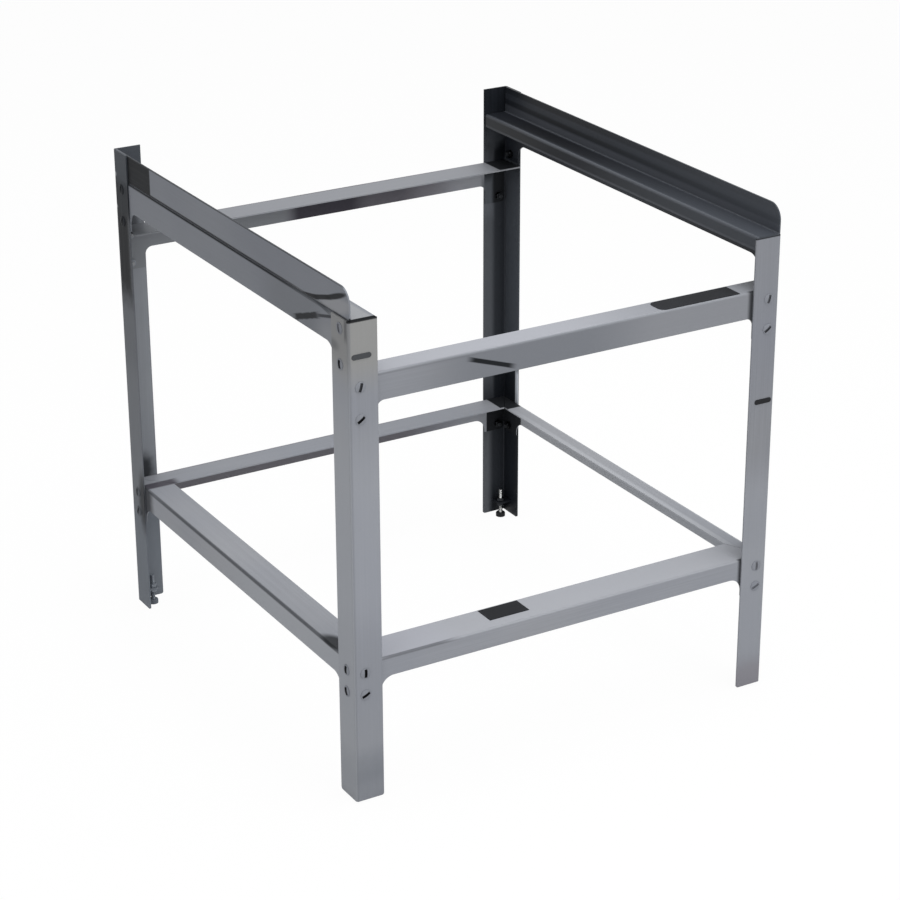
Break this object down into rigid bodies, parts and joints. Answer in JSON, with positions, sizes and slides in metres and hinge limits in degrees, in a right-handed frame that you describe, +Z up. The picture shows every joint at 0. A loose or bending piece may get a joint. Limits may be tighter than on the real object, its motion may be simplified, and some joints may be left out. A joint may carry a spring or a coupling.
{
  "type": "griddle stand",
  "caption": "Open stand for a tabletop griddle: angle legs, bolted folded rails, ledges with side upstands, levelling feet.",
  "frame": {"origin": "floor level, centre of the base", "axes": "+Z up, +X to the right seen from the front, +Y to the rear"},
  "size_m": [0.6166, 0.6566, 0.666],
  "materials": {
    "grey_leg": "satin grey",
    "grey_sheet": "satin grey",
    "black_sheet": "satin black",
    "grey_fastener": "satin grey, dark in the drive slot",
    "zinc": "zinc plated",
    "black_plastic": "matt black"
  },
  "bodies": {
    "frame": {"front_left_foot_jam_nut": "zinc", "front_left_foot_plate": "grey_leg", "front_left_foot_weld_nut": "zinc", "front_left_leg": "grey_leg", "front_left_nuts": "zinc", "front_left_screws": "grey_fastener", "front_left_slot_plug": "black_plastic", "front_lower_rail": "grey_sheet", "front_lower_rail_plate": "black_plastic", "front_right_foot_jam_nut": "zinc", "front_right_foot_plate": "grey_leg", "front_right_foot_weld_nut": "zinc", "front_right_leg": "grey_leg", "front_right_nuts": "zinc", "front_right_screws": "grey_fastener", "front_right_slot_plug": "black_plastic", "front_upper_rail": "grey_sheet", "front_upper_rail_plate": "black_plastic", "left_apron": "grey_sheet", "left_lower_rail": "grey_sheet", "left_rail_rivets": "grey_sheet", "left_support_rail": "grey_sheet", "rear_left_foot_jam_nut": "zinc", "rear_left_foot_plate": "grey_leg", "rear_left_foot_weld_nut": "zinc", "rear_left_leg": "grey_leg", "rear_left_nuts": "zinc", "rear_left_screws": "grey_fastener", "rear_lower_rail": "grey_sheet", "rear_right_foot_jam_nut": "zinc", "rear_right_foot_plate": "black_sheet", "rear_right_foot_weld_nut": "zinc", "rear_right_leg": "black_sheet", "rear_right_nuts": "zinc", "rear_right_screws": "grey_fastener", "rear_upper_rail": "grey_sheet", "right_apron": "black_sheet", "right_lower_rail": "grey_sheet", "right_rail_rivets": "black_sheet", "right_support_rail": "black_sheet"},
    "front_left_pad": {"front_left_foot_pad": "black_plastic"},
    "front_left_stem": {"front_left_foot_stem": "zinc"},
    "front_right_pad": {"front_right_foot_pad": "black_plastic"},
    "front_right_stem": {"front_right_foot_stem": "zinc"},
    "rear_left_pad": {"rear_left_foot_pad": "black_plastic"},
    "rear_left_stem": {"rear_left_foot_stem": "zinc"},
    "rear_right_pad": {"rear_right_foot_pad": "black_plastic"},
    "rear_right_stem": {"rear_right_foot_stem": "zinc"}
  },
  "joints": [
    {"name": "front_left_foot_travel", "type": "slide", "parent": "frame", "child": "front_left_pad", "axis": [0, 0, 1], "range_m": [-0.012, 0]},
    {"name": "front_left_stem_turn", "type": "hinge", "parent": "front_left_pad", "child": "front_left_stem", "pos_m": [-0.289, -0.309, 0], "axis": [0, 0, 1], "range_deg": [-4321, 0]},
    {"name": "front_right_foot_travel", "type": "slide", "parent": "frame", "child": "front_right_pad", "axis": [0, 0, 1], "range_m": [-0.012, 0]},
    {"name": "front_right_stem_turn", "type": "hinge", "parent": "front_right_pad", "child": "front_right_stem", "pos_m": [0.289, -0.309, 0], "axis": [0, 0, 1], "range_deg": [-4321, 0]},
    {"name": "rear_left_foot_travel", "type": "slide", "parent": "frame", "child": "rear_left_pad", "axis": [0, 0, 1], "range_m": [-0.012, 0]},
    {"name": "rear_left_stem_turn", "type": "hinge", "parent": "rear_left_pad", "child": "rear_left_stem", "pos_m": [-0.289, 0.309, 0], "axis": [0, 0, 1], "range_deg": [-4321, 0]},
    {"name": "rear_right_foot_travel", "type": "slide", "parent": "frame", "child": "rear_right_pad", "axis": [0, 0, 1], "range_m": [-0.012, 0]},
    {"name": "rear_right_stem_turn", "type": "hinge", "parent": "rear_right_pad", "child": "rear_right_stem", "pos_m": [0.289, 0.309, 0], "axis": [0, 0, 1], "range_deg": [-4321, 0]}
  ],
  "couplings": [
    {"joint": "front_left_stem_turn", "follows": "front_left_foot_travel", "rad_per_m": 6283.2},
    {"joint": "front_right_stem_turn", "follows": "front_right_foot_travel", "rad_per_m": 6283.2},
    {"joint": "rear_left_stem_turn", "follows": "rear_left_foot_travel", "rad_per_m": 6283.2},
    {"joint": "rear_right_stem_turn", "follows": "rear_right_foot_travel", "rad_per_m": 6283.2}
  ]
}
